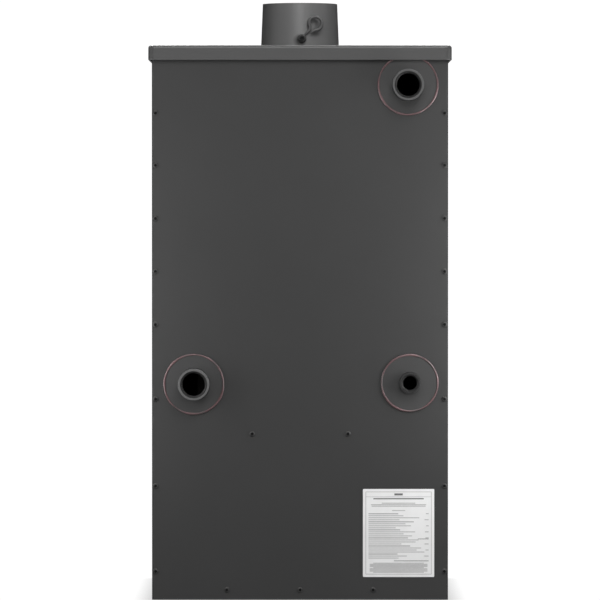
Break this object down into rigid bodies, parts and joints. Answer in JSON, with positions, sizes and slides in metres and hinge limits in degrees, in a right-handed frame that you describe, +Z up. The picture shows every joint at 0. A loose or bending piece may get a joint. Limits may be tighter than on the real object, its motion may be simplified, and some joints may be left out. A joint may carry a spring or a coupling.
{
  "type": "boiler stove",
  "caption": "Wood-fired boiler stove with a water jacket, top flue spigot with damper, rear pipe sockets, glazed fire door, ash drawer and log drawer.",
  "frame": {"origin": "middle of the base, on the floor under the centre of the casing", "axes": "+Z up, -Y out of the fire door, +Y out of the pipe sockets at the rear, +X to the right of someone who faces the fire door"},
  "size_m": [0.506, 0.616, 1],
  "materials": {
    "casing_paint": "satin",
    "top_paint": "satin",
    "frame_paint": "matte",
    "boiler_steel": "matte",
    "spigot_iron": "satin",
    "grate_iron": "matte",
    "socket_steel": "satin",
    "gasket": "matte",
    "rope": "matte",
    "seal": "satin",
    "screw_steel": "satin",
    "bright_steel": "satin",
    "rating_film": "matte",
    "firebrick": "matte",
    "glass": "gloss",
    "dial_paint": "matte",
    "gauge_rim": "polished",
    "needle_paint": "satin",
    "grip_wood": "satin",
    "knob_plastic": "matte",
    "galvanised": "satin"
  },
  "bodies": {
    "stove": {"floor_rails": "frame_paint", "base_plate": "frame_paint", "lower_body": "frame_paint", "ash_shelf": "frame_paint", "boiler_wrapper": "boiler_steel", "boiler_rear_plate": "boiler_steel", "firebox_shell": "boiler_steel", "jacket_strips": "boiler_steel", "water_tubes": "boiler_steel", "smoke_outlet": "boiler_steel", "flue_gasket": "gasket", "flue_spigot": "spigot_iron", "flue_nuts": "bright_steel", "top_plate": "top_paint", "side_panel_left": "casing_paint", "side_panel_right": "casing_paint", "rear_panel": "casing_paint", "front_plate": "casing_paint", "supply_socket": "socket_steel", "return_socket": "socket_steel", "drain_socket": "socket_steel", "pipe_rosettes": "casing_paint", "rosette_seals": "seal", "rating_plate": "rating_film", "panel_screws": "screw_steel", "grate_frame": "grate_iron", "grate": "grate_iron", "firebricks": "firebrick", "log_retainer": "grate_iron", "baffle_plate": "firebrick", "baffle_brackets": "boiler_steel", "hinge_brackets": "casing_paint", "hinge_pins": "bright_steel", "slide_guides": "casing_paint", "air_deflector": "boiler_steel", "thermometer_case": "gauge_rim", "thermometer_dial": "dial_paint", "thermometer_lens": "glass"},
    "fire_door": {"door_frame": "casing_paint", "door_glass": "glass", "glass_gasket": "gasket", "glass_clips": "galvanised", "clip_screws": "bright_steel", "door_rope": "rope"},
    "door_handle": {"handle_spindle": "bright_steel", "handle_lever": "casing_paint", "handle_grip": "grip_wood"},
    "ash_drawer": {"ash_drawer_front": "casing_paint", "ash_pan": "galvanised"},
    "air_disc": {"air_disc": "casing_paint", "air_knob": "knob_plastic"},
    "wood_drawer": {"wood_drawer_front": "casing_paint", "wood_box": "galvanised", "wood_handle": "bright_steel"},
    "damper": {"damper_disc": "spigot_iron", "damper_spindle": "screw_steel", "damper_handle": "screw_steel"},
    "air_slide": {"air_slide": "casing_paint", "air_slide_knob": "knob_plastic"},
    "thermometer_needle": {"thermometer_needle": "needle_paint"}
  },
  "joints": [
    {"name": "door_hinge", "type": "hinge", "parent": "stove", "child": "fire_door", "pos_m": [-0.21, -0.272, 0.55], "axis": [0, 0, -1], "range_deg": [0, 110]},
    {"name": "door_latch", "type": "hinge", "parent": "fire_door", "child": "door_handle", "pos_m": [0.138, -0.32, 0.545], "axis": [0, 1, 0], "range_deg": [0, 90]},
    {"name": "ash_drawer_slide", "type": "slide", "parent": "stove", "child": "ash_drawer", "axis": [0, -1, 0], "range_m": [0, 0.34]},
    {"name": "air_disc_turn", "type": "hinge", "parent": "ash_drawer", "child": "air_disc", "pos_m": [0, -0.266, 0.266], "axis": [0, 1, 0], "range_deg": [0, 45]},
    {"name": "wood_drawer_slide", "type": "slide", "parent": "stove", "child": "wood_drawer", "axis": [0, -1, 0], "range_m": [0, 0.38]},
    {"name": "air_slide_shift", "type": "slide", "parent": "stove", "child": "air_slide", "axis": [1, 0, 0], "range_m": [0, 0.026]},
    {"name": "damper_turn", "type": "hinge", "parent": "stove", "child": "damper", "pos_m": [0, 0.115, 0.94], "axis": [-0.0471, 0.9989, 0], "range_deg": [0, 90]},
    {"name": "needle_turn", "type": "hinge", "parent": "stove", "child": "thermometer_needle", "pos_m": [0, -0.262, 0.8705], "axis": [0, 1, 0], "range_deg": [0, 180], "stiffness_Nm_per_rad": 0.0002}
  ]
}
